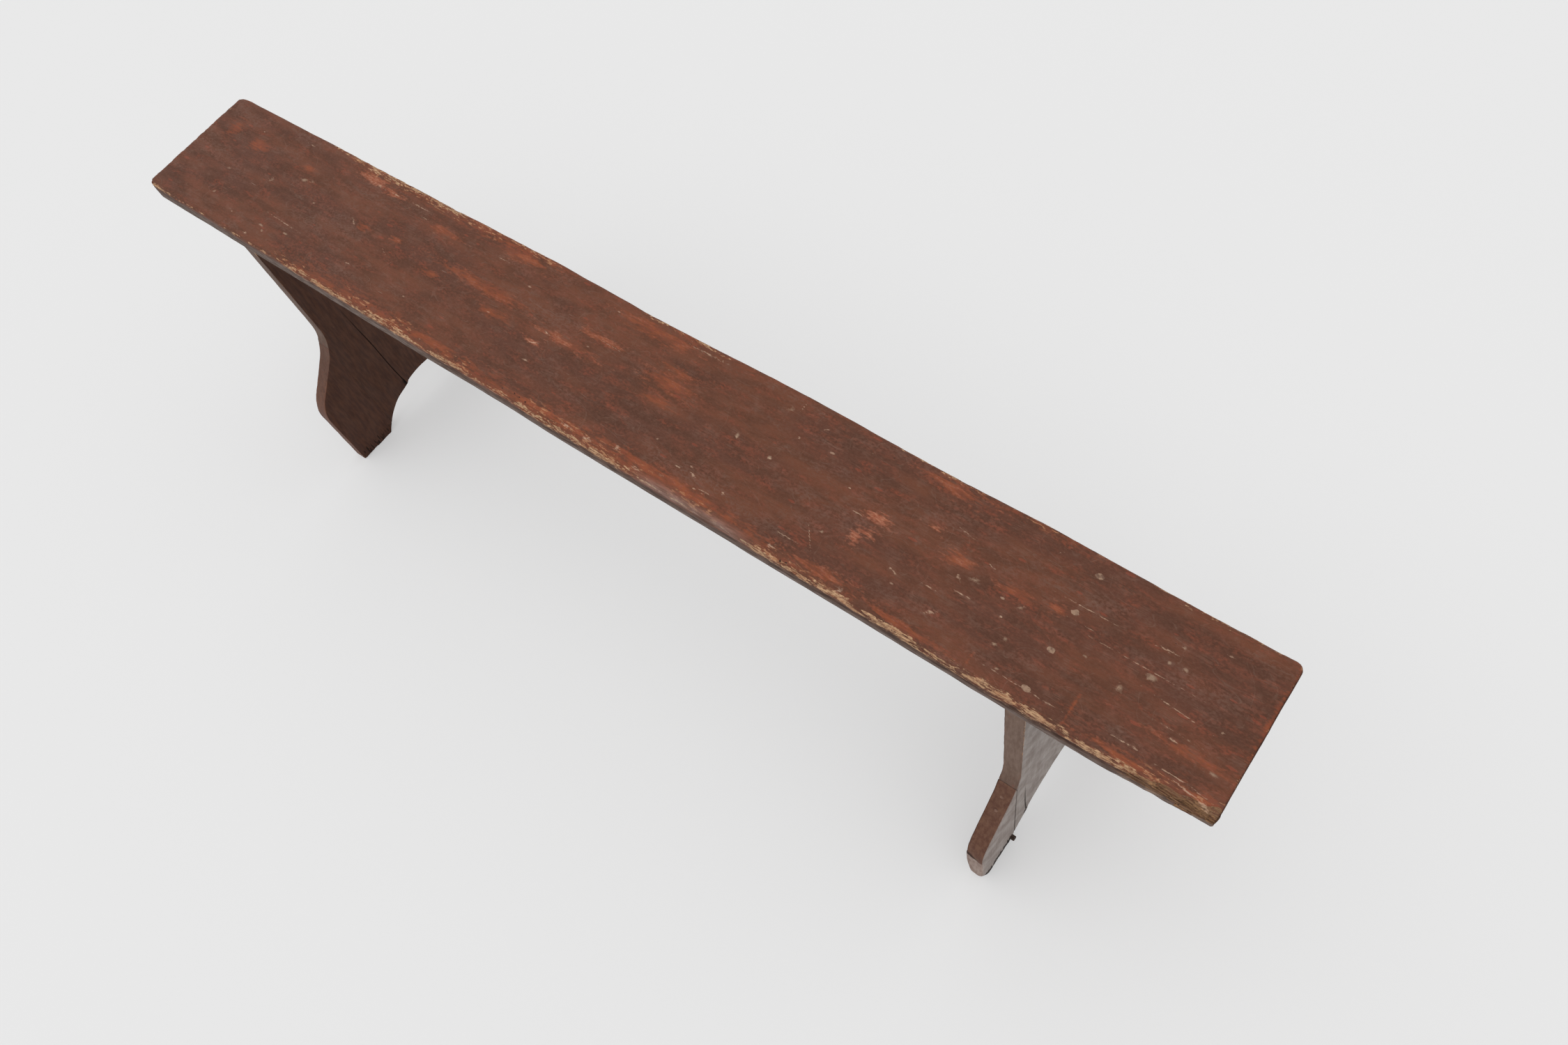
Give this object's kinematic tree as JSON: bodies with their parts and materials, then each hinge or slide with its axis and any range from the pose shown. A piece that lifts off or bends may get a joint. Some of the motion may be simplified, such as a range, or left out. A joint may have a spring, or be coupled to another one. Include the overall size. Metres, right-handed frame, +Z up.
{
  "type": "painted wood bench",
  "caption": "Long narrow plank bench on two upright board legs that sweep out to feet with an arch between, in worn dark red-brown paint.",
  "frame": {"origin": "on the floor, under the middle of the bench's outer box", "axes": "+X along the bench to its right end, -Y towards the front, +Z up"},
  "size_m": [1.44, 0.307, 0.45],
  "materials": {
    "seat_paint": "old dark red-brown paint, worn through to orange undercoat and straw-coloured wood along the front arris",
    "leg_paint": "brown paint on the edges and inner face, pale dusty grey on the outer face",
    "wing_paint": "redder brown paint, bare grey wood at the worn toes",
    "nail_filler": "iron cut nail, its head under pale filler and paint",
    "dark_peg": "dark weathered wood"
  },
  "bodies": {
    "root": {"seat_plank": "seat_paint", "left_leg_board": "leg_paint", "left_front_foot_wing": "wing_paint", "left_front_wing_nail_1": "nail_filler", "left_front_wing_nail_2": "nail_filler", "left_back_foot_wing": "wing_paint", "left_back_wing_nail_1": "nail_filler", "left_back_wing_nail_2": "nail_filler", "left_seat_nail_1": "nail_filler", "left_seat_nail_2": "nail_filler", "left_seat_nail_3": "nail_filler", "left_seat_nail_4": "nail_filler", "right_leg_board": "leg_paint", "right_front_foot_wing": "wing_paint", "right_front_wing_nail_1": "nail_filler", "right_front_wing_nail_2": "nail_filler", "right_back_foot_wing": "wing_paint", "right_back_wing_nail_1": "nail_filler", "right_back_wing_nail_2": "nail_filler", "right_seat_nail_1": "nail_filler", "right_seat_nail_2": "nail_filler", "right_seat_nail_3": "nail_filler", "right_seat_nail_4": "nail_filler", "right_front_peg": "dark_peg"}
  },
  "joints": []
}
